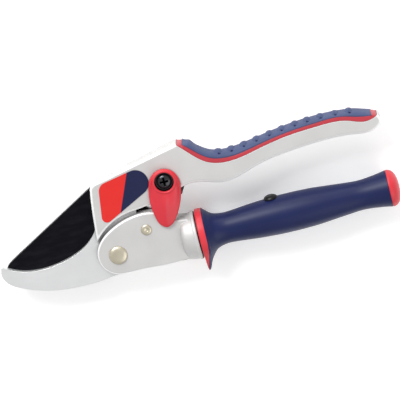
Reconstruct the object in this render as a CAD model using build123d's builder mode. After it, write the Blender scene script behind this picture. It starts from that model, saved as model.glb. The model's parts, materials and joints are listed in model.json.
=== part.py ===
from build123d import *
import os
from math import cos, radians, sin

# Bypass pruning shears with a rotating lower grip, closed and locked.
# Frame: the pivot is the Z axis, +Z is the front face, +X runs along the rotating grip towards its
# cap, and Z = 0 is the rear face of the pivot nut. Heights are measured from the middle plane, half
# way between the castings' front and rear faces, which level() places. All sizes are in millimetres.

os.makedirs("parts", exist_ok=True)

# ---- Driving dimensions ----
mid_height = 8.9            # middle plane above the pivot nut's rear face
casting_half = 7.5          # both handle castings are 15 mm thick
casting_round = 1.8         # rounding of the upper casting's outer edges
fork_round = 1.2            # rounding of the lower casting's outer edges
running_gap = 0.05          # radial clearance of a shaft in its bore
far = 90.0                  # past every edge of the tool

hook_back = 0.0             # the hook plate's rear face
hook_front = 3.5            # the hook plate's front face
blade_back = -3.1           # the cutting blade's rear face
blade_front = -0.1          # the cutting blade's front face
wall_back = 3.7             # rear face of the head's front wall and of the fork's front cheek

pivot_r = 3.4               # pivot bolt's shank
pivot_bush_r = 4.6          # outside of the pivot bush
pivot_head_r = 5.0          # domed head
pivot_head_t = 1.5
pivot_head_round = 1.2
hook_boss_r = 11.8          # the hook plate's round end below the pivot
hook_shoulder = (14.9, 19.5)
fork_slot_r = 12.3          # slot in the fork that the round end turns in
stop_gap = 0.25             # between the hook's edge and the fork's land when closed
tang_end = 25.4             # the blade's tang ends near here
tang_pocket_end = 26.4
rivet_at = (18.1, 10.0)     # blade rivet
rivet_r = 1.9
rivet_head_r = 2.95
rivet_head_t = 0.7
dimple_r = 1.0
hook_rivets_at = [(1.0, 30.5), (11.5, 33.0), (7.0, 24.5)]

nut_pocket_r = 6.3
nut_pocket_floor = -6.0
pivot_washer_r = 5.9
pivot_washer_t = 0.5
nut_across_flats = 10.0

lock_at = (34.0, 34.2)      # thumb lock's screw
lock_screw_r = 2.0
lock_screw_end = -1.0
lock_head_r = 4.2
lock_recess_r = 5.8
lock_hub_r = 7.4
lever_base = 7.9            # underside of the lever
lever_top = 10.4            # top of the lever's arm
lock_hub_top = 12.1
lock_seat = 8.5             # floor of the recess under the screw's washer
wave_washer_r = 6.4
lock_washer_r = 4.8
lock_washer_t = 0.4
lock_head_top = 9.6
cross_width = 1.2
cross_length = 5.2
lock_pin_at = (26.8, 20.7)
lock_pin_r = 1.2
lock_pin_end = 4.3

spring_lean = 60.0          # direction of the spring's axis from +X, in degrees
spring_top = (39.6, 29.3)   # centre of the spring pocket's end in the upper handle
spring_pocket_r = 4.5
spring_span = 18.5          # from one pocket's end to the other's
cup_length = 4.6
cup_wall = 0.6
wire_r = 0.55
coil_r = 3.1                # to the middle of the wire
coil_turns = 6.5

grip_y = -1.0               # the grip's axis passes this far below the pivot
collar_r = 13.4
collar_face = 44.2          # the collar's end face
neck_end = 41.0             # the flat neck ends inside the collar
rim_start = 42.3            # the collar's rim stands a little above its cone
rim_rise = 0.4
rim_bevel = 0.4
spindle_r = 4.0
spindle_start = 27.5
spindle_end = 142.2
thrust_washer_r = 12.6
thrust_washer_t = 0.6
flange_start = 44.9
flange_end = 48.5
flange_r = 13.9
guard_split = 46.4          # the finger guard is red before this and navy behind it
guard_root_r = 12.9
guard_tip_r = 4.4
guard_drop = 20.8           # the finger guard's tip below the grip's axis
sleeve_r = 6.5
sleeve_tail_r = 7.4
sleeve_tail = 141.0
bush_r = 5.0
bush_length = 10.0
front_bush_start = 45.0
rear_bush_start = 131.9
grip_end = 149.8            # where the cover meets the end cap
cap_bore_start = 142.1
cap_bore_r = 6.2
spindle_washer_r = 5.9
spindle_washer_t = 1.2
spindle_head_r = 3.8
spindle_head_t = 2.8
spindle_thread_r = 2.0
spindle_thread_start = 128.0
cap_r = 10.1
cap_tip = 155.4
cap_plug_length = 2.6
stop_x = 86.7               # stop screw along the grip
stop_tilt = 2.0             # the stop screw leans this far towards the front
stop_head_r = 4.0
stop_shank_r = 1.9
stop_tip_r = 1.5
stop_swing = 74.0           # half angle of the slot that the stop screw's point rides in
stop_slot_floor = 2.6
stop_tip_start = 3.0        # distances along the stop screw from the grip's axis
stop_shank_start = 5.1
stop_neck_start = 7.5
stop_neck_r = 3.2

pip_count = 11
pip_first = 14.4            # first pip, measured along the crest from its left end
pip_pitch = 7.33
pip_r = 1.4
pip_sink = 0.6              # centre of a pip below the pad's crest

lever_round = 0.8           # rounding of the lever's arm
hub_taper = 8.0             # the lever's hub narrows towards its top, in degrees
cross_depth = 0.5
spring_seat_gap = 0.1       # past each end of the spring
spring_side_gap = 0.5       # around the spring in the lower pocket
neck_root = 28.0            # the collar's core starts here, inside the neck
rivet_taper = 35.0
dimple_lift = 0.45          # centre of the rivet's dimple above its head
flange_round = 1.4
guard_back = [(46.4, 12.0, 4.4, 20.8), (48.5, 12.0, 3.8, 17.2), (52.5, 10.2, 3.2, 11.2)]    # x, radii, drop
stop_slot_half = 1.8        # half width of the spindle's slot
stop_head_height = 10.2     # underside of the stop screw's head above the grip's axis
stop_head_t = 0.9
stop_taper = 40.0

label_t = 0.25
label_corners = [((3.5, 35.6), 5.0), ((-0.6, 21.8), 2.8), ((18.7, 36.5), 7.1)]

# ---- Placing helpers ----
grip_plane = Plane(origin=(0, grip_y, mid_height), x_dir=(1, 0, 0), z_dir=(0, 0, 1))
grip_axis = Axis((0, grip_y, mid_height), (1, 0, 0))
spring_dir = Vector(cos(radians(spring_lean)), sin(radians(spring_lean)), 0)
spring_upper = Vector(spring_top[0], spring_top[1], mid_height)
spring_lower = spring_upper - spring_dir * spring_span
stop_dir = Vector(0, cos(radians(stop_tilt)), sin(radians(stop_tilt)))
stop_foot = Vector(stop_x, grip_y, mid_height)


def level(height):
    """Plane parallel to the front face, at a height above the middle plane."""
    return Plane.XY.offset(mid_height + height)


def across(x):
    """Plane square to the grip's axis at x, with its second axis up the tool."""
    return Plane(origin=(x, grip_y, mid_height), x_dir=(0, 0, -1), z_dir=(1, 0, 0))


def stop_level(radius):
    """Plane square to the stop screw, at a distance from the grip's axis."""
    return Plane(origin=stop_foot + stop_dir * radius, x_dir=(1, 0, 0), z_dir=stop_dir)


def save(piece, name):
    """Label a finished piece and write it."""
    piece.part.label = name
    export_step(piece.part, f"parts/{name}.step")


def disc(plane, radius, length, mode=Mode.ADD):
    """Add a round slab to the open part, or cut it out."""
    with BuildSketch(plane) as outline:
        Circle(radius)
    extrude(outline.sketch, amount=length, mode=mode)


def bore(plane, radius, length):
    """Cut a round hole in the open part."""
    disc(plane, radius, length, Mode.SUBTRACT)


def guard_outline(plane, round_r, tip_r, drop):
    """Round flange drawn out into a finger guard on its lower side."""
    with BuildSketch(plane) as outline:
        Circle(round_r)
        with Locations((0, tip_r - drop)):
            Circle(tip_r)
        make_hull()
    return outline.sketch


# ---- Upper handle: one outline shared by the casting, the red strip and the navy pad ----
# The seat line is where the red strip meets the casting; the pad line is where the pad meets it.
seat_line = [(41.0, 54.5), (50.6, 45.4), (58.6, 38.5), (70, 36.0), (86, 38.6), (104, 42.0), (121, 43.2),
             (137, 42.2), (146.0, 39.6), (150.0, 40.2), (157.0, 44.5)]
pad_line = [(44.5, 54.5), (53.5, 46.4), (60.5, 40.8), (71, 38.5), (86, 40.8), (104, 44.0), (121, 45.4),
            (136, 45.0), (145.5, 42.9), (153.0, 47.0)]
crest = [(53.4, 49.4), (60.3, 43.6), (70, 41.7), (86, 43.6), (104, 46.3), (124, 47.5), (138, 46.8),
         (151.6, 43.2)]
crown_slope = 0.222

with BuildPart() as handle_blank:
    with BuildSketch(level(-casting_half)):
        with BuildLine():
            head_arc = ThreePointArc((-9.4, 9.2), (0.2, 17.4), (14.0, 21.6))
            rim = Spline(head_arc @ 1, (24, 22.9), (34, 25.3), (43, 28.2), (50.5, 28.8), (64, 25.4),
                         (84, 29.8), (104, 33.3), (124, 34.6), (138, 33.9), (148.5, 33.6), (154.3, 38.0),
                         *reversed(crest), (43.0, 51.7),
                         tangents=(head_arc % 1, (-1, -crown_slope)))
            crown = Line(rim @ 1, (-2.2, 41.7))
            nose = ThreePointArc(crown @ 1, (-5.0, 40.2), (-6.2, 37.2))
            Spline(nose @ 1, (-7.2, 31.0), (-8.7, 17.0), head_arc @ 0)
        make_face()
    extrude(amount=2 * casting_half)
    fillet(handle_blank.faces().filter_by(Axis.Z).edges(), casting_round)

with BuildPart() as above_seat:
    with BuildSketch(level(-casting_half)):
        with BuildLine():
            line = Spline(*seat_line)
            Polyline(line @ 1, (157.0, far), (41.0, far), line @ 0)
        make_face()
    extrude(amount=2 * casting_half)

with BuildPart() as above_pad_line:
    with BuildSketch(level(-casting_half)):
        with BuildLine():
            line = Spline(*pad_line)
            Polyline(line @ 1, (153.0, far), (44.5, far), line @ 0)
        make_face()
    extrude(amount=2 * casting_half)

with BuildPart() as upper_handle:
    add(handle_blank.part)
    add(above_seat.part, mode=Mode.SUBTRACT)
    # The head is only a front wall where the blade sweeps behind it; the recess's right side is
    # where the blade's back edge comes to rest when the shears are fully open.
    with BuildSketch(level(-casting_half)):
        Polygon((-far, far), (-far, 0), (31.6, 0), (-1.4, far), align=None)
    extrude(amount=casting_half + wall_back, mode=Mode.SUBTRACT)
    # Behind the neck the rear face ramps up towards the head.
    with BuildSketch(Plane.XZ):
        with Locations((0, mid_height)):
            Polygon((10, -8), (10, -3.3), (24, -3.3), (46, -7.5), (46, -8), align=None)
    extrude(amount=-far, mode=Mode.SUBTRACT)
    with BuildSketch(level(lock_screw_end)):
        with Locations(lock_at):
            Circle(lock_screw_r + running_gap)
    extrude(amount=casting_half - lock_screw_end, mode=Mode.SUBTRACT)
    with BuildSketch(level(hook_front)):
        with Locations(*hook_rivets_at):
            Circle(rivet_r + running_gap)
    extrude(amount=casting_half, mode=Mode.SUBTRACT)
    bore(Plane(origin=spring_upper, z_dir=-spring_dir), spring_pocket_r + running_gap, spring_span)
save(upper_handle, "upper_handle")

with BuildPart() as upper_grip_base:
    add(handle_blank.part)
    add(above_seat.part, mode=Mode.INTERSECT)
    add(above_pad_line.part, mode=Mode.SUBTRACT)
save(upper_grip_base, "upper_grip_base")

with BuildPart() as upper_grip_pad:
    add(handle_blank.part)
    add(above_pad_line.part, mode=Mode.INTERSECT)
    with BuildLine(level(0), mode=Mode.PRIVATE):
        crest_line = Spline(*crest)
    pips = [crest_line @ ((pip_first + n * pip_pitch) / crest_line.length) for n in range(pip_count)]
    with Locations(*[(pip.X, pip.Y - pip_sink, mid_height) for pip in pips]):
        Sphere(pip_r)
save(upper_grip_pad, "upper_grip_pad")

# ---- Hook plate behind the head, with its rivets and bush ----
with BuildPart() as hook_blade:
    with BuildSketch(level(hook_back)):
        with BuildLine():
            inner = Spline((-62.6, 7.3), (-57.8, 4.4), (-50.7, 1.9), (-42.0, 1.0), (-29.7, 2.6),
                           (-16.6, 7.8), (-9.8, 14.2))
            left = Polyline(inner @ 1, (-7.3, 19.0), (-4.5, 33.0), (-1.0, 36.5), (13.0, 36.5), (16.2, 30.0),
                            hook_shoulder, (hook_boss_r, 0.0))
            boss = ThreePointArc(left @ 1, (7.0, -9.5), (-1.5, -11.7))
            outer = Spline(boss @ 1, (-9.7, -12.5), (-21.8, -13.2), (-39.3, -11.7), (-55.7, -6.3),
                           (-61.8, -2.3), (-64.3, 3.6), (-63.6, 6.8), tangents=(boss % 1, (0.3, 1)))
            Line(outer @ 1, inner @ 0)
        make_face()
        Circle(pivot_bush_r + running_gap, mode=Mode.SUBTRACT)
        with Locations(*hook_rivets_at):
            Circle(rivet_r + running_gap, mode=Mode.SUBTRACT)
    extrude(amount=hook_front - hook_back)
save(hook_blade, "hook_blade")

with BuildPart() as hook_rivets:
    with BuildSketch(level(hook_back)):
        with Locations(*hook_rivets_at):
            Circle(rivet_r)
    extrude(amount=casting_half - hook_back)
save(hook_rivets, "hook_rivets")

with BuildPart() as pivot_bush:
    disc(level(hook_back), pivot_bush_r, hook_front - hook_back)
    bore(level(hook_back), pivot_r + running_gap, hook_front - hook_back)
save(pivot_bush, "pivot_bush")

# ---- Sticker on the head: two plain fields ----
with BuildPart() as head_label:
    with BuildSketch(level(casting_half)) as label_outline:
        for corner, radius in label_corners:
            with Locations(corner):
                Circle(radius)
        make_hull()
    extrude(label_outline.sketch, amount=label_t)
save(head_label, "head_label")

# ---- Thumb lock ----
with BuildPart() as lock_lever:
    with BuildSketch(level(lever_base)):
        with BuildLine():
            Spline((35.0, 41.2), (28.2, 38.9), (25.1, 32.6), (23.8, 24.8), (24.4, 16.6), (26.5, 10.9),
                   (29.6, 9.0), (34.0, 11.4), (38.6, 18.4), (41.6, 26.8), (41.5, 35.6), periodic=True)
        make_face()
    extrude(amount=lever_top - lever_base)
    fillet(lock_lever.faces().sort_by(Axis.Z)[-1].edges(), lever_round)
    with BuildSketch(level(lever_top - lever_round)):
        with Locations(lock_at):
            Circle(lock_hub_r)
    extrude(amount=lock_hub_top - lever_top + lever_round, taper=hub_taper)
    with BuildSketch(level(lock_seat)):
        with Locations(lock_at):
            Circle(lock_recess_r)
    extrude(amount=casting_half, mode=Mode.SUBTRACT)
    with BuildSketch(level(lever_base)):
        with Locations(lock_at):
            Circle(lock_screw_r + running_gap)
        with Locations(lock_pin_at):
            Circle(lock_pin_r)
    extrude(amount=lock_seat - lever_base, mode=Mode.SUBTRACT)
save(lock_lever, "lock_lever")

with BuildPart() as lock_pin:
    with BuildSketch(level(lock_pin_end)):
        with Locations(lock_pin_at):
            Circle(lock_pin_r)
    extrude(amount=lock_seat - lock_pin_end)
save(lock_pin, "lock_pin")

with BuildPart() as lock_wave_washer:
    with BuildSketch(level(casting_half)):
        with Locations(lock_at):
            Circle(wave_washer_r)
            Circle(lock_screw_r + running_gap, mode=Mode.SUBTRACT)
    extrude(amount=lever_base - casting_half)
save(lock_wave_washer, "lock_wave_washer")

with BuildPart() as lock_washer:
    with BuildSketch(level(lock_seat)):
        with Locations(lock_at):
            Circle(lock_washer_r)
            Circle(lock_screw_r + running_gap, mode=Mode.SUBTRACT)
    extrude(amount=lock_washer_t)
save(lock_washer, "lock_washer")

with BuildPart() as lock_screw:
    with BuildSketch(level(lock_screw_end)):
        with Locations(lock_at):
            Circle(lock_screw_r)
    extrude(amount=lock_seat + lock_washer_t - lock_screw_end)
    with BuildSketch(level(lock_seat + lock_washer_t)):
        with Locations(lock_at):
            Circle(lock_head_r)
    extrude(amount=lock_head_top - lock_seat - lock_washer_t)
    with BuildSketch(level(lock_head_top)):
        with Locations(lock_at):
            Rectangle(cross_length, cross_width)
            Rectangle(cross_width, cross_length)
    extrude(amount=-cross_depth, mode=Mode.SUBTRACT)
save(lock_screw, "lock_screw")

# ---- Return spring between the two castings, and its seat in the upper one ----
with BuildPart() as spring_cup:
    cup_mouth = spring_upper - spring_dir * cup_length
    disc(Plane(origin=cup_mouth, z_dir=spring_dir), spring_pocket_r, cup_length)
    bore(Plane(origin=cup_mouth, z_dir=spring_dir), spring_pocket_r - cup_wall, cup_length - cup_wall)
save(spring_cup, "spring_cup")

with BuildPart() as return_spring:
    coil_length = spring_span - cup_wall - 2 * wire_r - 2 * spring_seat_gap
    coil_start = spring_lower + spring_dir * (wire_r + spring_seat_gap)
    with BuildLine():
        coil = Helix(pitch=coil_length / coil_turns, height=coil_length, radius=coil_r, center=coil_start,
                     direction=spring_dir)
    with BuildSketch(Plane(origin=coil @ 0, z_dir=coil % 0)):
        Circle(wire_r)
    sweep(path=coil, is_frenet=True)
save(return_spring, "return_spring")

# ---- Lower handle: fork, boss, neck and collar in one casting ----
with BuildPart() as lower_handle:
    with BuildSketch(level(-casting_half)):
        with BuildLine():
            boss = ThreePointArc((-1.5, -10.8), (-10.8, -1.5), (-9.9, 5.4))
            back = Spline(boss @ 1, (-2.3, 13.4), (6.5, 17.5), (16.0, 19.3), (24.5, 18.2), (31.5, 14.2),
                          (neck_end, 10.6), tangents=(boss % 1, (1, -0.1)))
            end = Line(back @ 1, (neck_end, -11.4))
            Spline(end @ 1, (26.7, -12.0), (10.0, -11.2), boss @ 0, tangents=((-1, 0), boss % 0))
        make_face()
    extrude(amount=2 * casting_half)
    rims = lower_handle.faces().filter_by(Axis.Z).edges()
    fillet([rim for rim in rims if rim.center().X < neck_end - 1], fork_round)
    # Round collar, flared out of the flat fork.
    with BuildSketch(grip_plane):
        with BuildLine():
            root = Polyline((neck_root, 0), (neck_root, 6.4), (34.6, 7.2))
            rim_foot = (rim_start, collar_r - rim_rise)
            flare = Spline(root @ 1, (35.3, 9.8), (36.5, 11.8), (38.4, 12.5), rim_foot,
                           tangents=((1, 2), (1, 0.1)))
            Polyline(flare @ 1, (rim_start + rim_rise, collar_r), (collar_face - rim_bevel, collar_r),
                     (collar_face, collar_r - rim_bevel), (collar_face, 0), root @ 0)
        make_face()
    revolve(axis=grip_axis)
    # Slot for the hook plate: a round pocket about the pivot, open towards the blade end.
    with BuildSketch(level(blade_front)):
        Circle(fork_slot_r)
        Polygon((-far, far), (-far, -far), (0, -far), (0, 0), (hook_boss_r + stop_gap, 0),
                (hook_shoulder[0] + stop_gap, hook_shoulder[1]), (hook_shoulder[0] + stop_gap, far),
                align=None)
    extrude(amount=wall_back - blade_front, mode=Mode.SUBTRACT)
    with BuildSketch(level(blade_back)):
        Polygon((-far, far), (-far, -far), (tang_pocket_end, -far), (tang_pocket_end, far), align=None)
    extrude(amount=blade_front - blade_back, mode=Mode.SUBTRACT)
    bore(level(-casting_half), pivot_r + running_gap, 2 * casting_half)
    bore(level(-casting_half), nut_pocket_r, nut_pocket_floor + casting_half)
    with BuildSketch(level(-casting_half)):
        with Locations(rivet_at):
            Circle(rivet_r)
    extrude(amount=2 * casting_half, mode=Mode.SUBTRACT)
    bore(Plane(origin=spring_lower, z_dir=spring_dir), coil_r + wire_r + spring_side_gap, spring_span)
    bore(across(spindle_start), spindle_r, far)
save(lower_handle, "lower_handle")

with BuildPart() as cutting_blade:
    with BuildSketch(level(blade_back)):
        with BuildLine():
            tip = Spline((-60.8, 5.3), (-58.2, 8.0), (-53.9, 10.6), tangents=((0.5, 1), (0.866, 0.5)))
            spine = Line(tip @ 1, (-6.2, 38.0))
            heel = ThreePointArc(spine @ 1, (-0.5, 38.9), (4.2, 36.4))
            back = Line(heel @ 1, (22.4, 18.6))
            tang = Spline(back @ 1, (tang_end, 11.0), (22.5, -4.5), (10.0, -9.9), (-2.0, -10.0),
                          tangents=((1, -1), (-1, 0.25)))
            Spline(tang @ 1, (-12.0, -6.2), (-28.0, -6.6), (-44.0, -5.2), (-55.0, -1.0), tip @ 0,
                   tangents=((-1, 0.25), (-0.6, 1)))
        make_face()
        Circle(pivot_r, mode=Mode.SUBTRACT)
        with Locations(rivet_at):
            Circle(rivet_r, mode=Mode.SUBTRACT)
    extrude(amount=blade_front - blade_back)
save(cutting_blade, "cutting_blade")

# ---- Pivot and blade rivet ----
with BuildPart() as pivot_bolt:
    disc(level(-mid_height), pivot_r, mid_height + casting_half)
    disc(level(casting_half), pivot_head_r, pivot_head_t)
    fillet(pivot_bolt.faces().sort_by(Axis.Z)[-1].edges(), pivot_head_round)
save(pivot_bolt, "pivot_bolt")

with BuildPart() as pivot_washer:
    disc(level(nut_pocket_floor), pivot_washer_r, -pivot_washer_t)
    bore(level(nut_pocket_floor), pivot_r, -pivot_washer_t)
save(pivot_washer, "pivot_washer")

with BuildPart() as pivot_nut:
    with BuildSketch(level(-mid_height)):
        RegularPolygon(nut_across_flats / 2, 6, major_radius=False)
        Circle(pivot_r, mode=Mode.SUBTRACT)
    extrude(amount=mid_height + nut_pocket_floor - pivot_washer_t)
save(pivot_nut, "pivot_nut")

with BuildPart() as blade_rivet:
    with BuildSketch(level(-casting_half)):
        with Locations(rivet_at):
            Circle(rivet_r)
    extrude(amount=2 * casting_half)
    with BuildSketch(level(casting_half)):
        with Locations(rivet_at):
            Circle(rivet_head_r)
    extrude(amount=rivet_head_t, taper=rivet_taper)
    with BuildSketch(level(-casting_half)):
        with Locations(rivet_at):
            Circle(rivet_head_r)
    extrude(amount=-rivet_head_t, taper=rivet_taper)
    with Locations((rivet_at[0], rivet_at[1], mid_height + casting_half + rivet_head_t + dimple_lift)):
        Sphere(dimple_r, mode=Mode.SUBTRACT)
save(blade_rivet, "blade_rivet")

# ---- Rotating grip ----
with BuildPart() as grip_spindle:
    disc(across(spindle_start), spindle_r, spindle_end - spindle_start)
    bore(across(spindle_thread_start), spindle_thread_r, far)
    # The stop screw's point rides in a slot part of the way round.
    slot_side = stop_foot - Vector(stop_slot_half, 0, 0)
    with BuildSketch(Plane(origin=slot_side, x_dir=stop_dir, z_dir=(1, 0, 0))):
        with BuildLine():
            lip = CenterArc((0, 0), sleeve_r, -stop_swing, 2 * stop_swing)
            floor = CenterArc((0, 0), stop_slot_floor, -stop_swing, 2 * stop_swing)
            Line(lip @ 0, floor @ 0)
            Line(lip @ 1, floor @ 1)
        make_face()
    extrude(amount=2 * stop_slot_half, mode=Mode.SUBTRACT)
save(grip_spindle, "grip_spindle")

with BuildPart() as thrust_washer:
    disc(across(collar_face), thrust_washer_r, thrust_washer_t)
    bore(across(collar_face), spindle_r + running_gap, thrust_washer_t)
save(thrust_washer, "thrust_washer")

with BuildPart() as grip_sleeve:
    disc(across(flange_start), flange_r, flange_end - flange_start)
    fillet(grip_sleeve.faces().sort_by(Axis.X)[0].edges(), flange_round)
    extrude(guard_outline(across(flange_start), guard_root_r, guard_tip_r, guard_drop),
            amount=guard_split - flange_start)
    disc(across(flange_end), sleeve_r, sleeve_tail - flange_end)
    disc(across(sleeve_tail), sleeve_tail_r, grip_end - sleeve_tail)
    bore(across(flange_start), bush_r, far * 2)
    bore(across(cap_bore_start), cap_bore_r, far)
    bore(stop_level(0), stop_shank_r + running_gap, sleeve_r + 1)
save(grip_sleeve, "grip_sleeve")

cover_profile = [(flange_end, 13.3), (50.6, 11.9), (53.6, 9.6), (58.5, 8.5), (64.0, 8.6), (77.0, 9.8),
                 (92.0, 10.5), (108.0, 10.2), (123.0, 8.9), (134.0, 8.1), (143.0, 8.9), (grip_end, cap_r)]
with BuildPart() as grip_cover:
    with BuildSketch(grip_plane):
        with BuildLine():
            side = Spline(*cover_profile)
            Polyline(side @ 1, (grip_end, 0), (flange_end, 0), side @ 0)
        make_face()
    revolve(axis=grip_axis)
    # Back of the finger guard.
    loft([guard_outline(across(x), round_r, tip_r, drop) for x, round_r, tip_r, drop in guard_back])
    disc(across(flange_start), flange_r, flange_end - flange_start, Mode.SUBTRACT)
    bore(across(flange_start), sleeve_r, far * 2)
    bore(across(sleeve_tail), sleeve_tail_r, far)
    bore(stop_level(0), stop_head_r + running_gap, far)
save(grip_cover, "grip_cover")

for name, start in (("front_bush", front_bush_start), ("rear_bush", rear_bush_start)):
    with BuildPart() as bush:
        disc(across(start), bush_r, bush_length)
        bore(across(start), spindle_r + running_gap, bush_length)
    save(bush, name)

with BuildPart() as spindle_washer:
    disc(across(spindle_end), spindle_washer_r, spindle_washer_t)
    bore(across(spindle_end), spindle_thread_r, spindle_washer_t)
save(spindle_washer, "spindle_washer")

with BuildPart() as spindle_screw:
    head_start = spindle_end + spindle_washer_t
    disc(across(spindle_thread_start), spindle_thread_r, head_start - spindle_thread_start)
    disc(across(head_start), spindle_head_r, spindle_head_t)
save(spindle_screw, "spindle_screw")

with BuildPart() as grip_end_cap:
    with BuildSketch(grip_plane):
        with BuildLine():
            rise = Polyline((grip_end, 0), (grip_end, cap_r))
            dome = Spline(rise @ 1, (152.6, 8.9), (154.6, 5.4), (cap_tip, 0), tangents=((1, -0.1), (0, -1)))
            Line(dome @ 1, rise @ 0)
        make_face()
    revolve(axis=grip_axis)
    disc(across(grip_end), cap_bore_r, -cap_plug_length)
save(grip_end_cap, "grip_end_cap")

with BuildPart() as grip_stop_screw:
    disc(stop_level(stop_tip_start), stop_tip_r, stop_shank_start - stop_tip_start)
    disc(stop_level(stop_shank_start), stop_shank_r, stop_neck_start - stop_shank_start)
    disc(stop_level(stop_neck_start), stop_neck_r, stop_head_height - stop_neck_start)
    with BuildSketch(stop_level(stop_head_height)):
        Circle(stop_head_r)
    extrude(amount=stop_head_t, taper=stop_taper)
save(grip_stop_screw, "grip_stop_screw")
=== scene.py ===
import json
import math
import bmesh
import bpy
from mathutils import Matrix, Vector
from mathutils.bvhtree import BVHTree


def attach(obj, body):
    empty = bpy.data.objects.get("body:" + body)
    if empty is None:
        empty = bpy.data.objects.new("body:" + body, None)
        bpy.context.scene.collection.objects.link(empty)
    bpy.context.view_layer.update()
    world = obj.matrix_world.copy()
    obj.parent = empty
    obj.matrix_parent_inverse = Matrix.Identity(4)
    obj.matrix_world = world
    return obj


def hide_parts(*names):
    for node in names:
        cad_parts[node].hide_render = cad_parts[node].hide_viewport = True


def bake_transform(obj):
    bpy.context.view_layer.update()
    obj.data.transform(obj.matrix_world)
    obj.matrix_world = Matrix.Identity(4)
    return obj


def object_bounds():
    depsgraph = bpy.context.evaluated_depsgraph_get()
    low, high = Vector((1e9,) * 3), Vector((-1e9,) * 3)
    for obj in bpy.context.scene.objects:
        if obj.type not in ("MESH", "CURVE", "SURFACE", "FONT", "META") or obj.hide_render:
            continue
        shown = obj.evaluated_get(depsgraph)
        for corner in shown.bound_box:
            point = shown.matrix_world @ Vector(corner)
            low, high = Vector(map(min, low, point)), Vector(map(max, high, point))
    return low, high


# Looks for the bypass pruning shears. Metres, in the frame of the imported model: the pivot is the
# Z axis, +X runs along the rotating grip, +Z is the front face.

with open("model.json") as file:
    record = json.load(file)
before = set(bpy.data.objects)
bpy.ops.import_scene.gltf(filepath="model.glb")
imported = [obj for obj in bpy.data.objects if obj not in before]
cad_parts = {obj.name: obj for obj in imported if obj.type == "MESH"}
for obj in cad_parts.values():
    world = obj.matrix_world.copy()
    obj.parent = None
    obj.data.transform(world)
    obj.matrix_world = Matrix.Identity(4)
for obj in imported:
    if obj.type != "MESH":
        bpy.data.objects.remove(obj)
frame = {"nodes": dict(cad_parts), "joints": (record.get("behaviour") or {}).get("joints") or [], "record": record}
cad_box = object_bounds()
nodes = frame["nodes"]
MM = 0.001

# ---- Places read from the frame ----
hinges = {joint["name"]: joint for joint in frame["joints"]}
MID = hinges["handle_pivot"]["pos_m"][2]
GRIP_Y = hinges["grip_swivel"]["pos_m"][1]
SPLIT_LEAN = 0.415      # the sticker's two fields meet on the line x - SPLIT_LEAN y = SPLIT_AT, in mm
SPLIT_AT = -2.3
# The casting's painted rim highlight is kept off the collar and neck.
COLLAR_FROM = 33.0      # the collar and neck lie right of this x and below this y, in mm
COLLAR_TOP = 15.0


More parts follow.
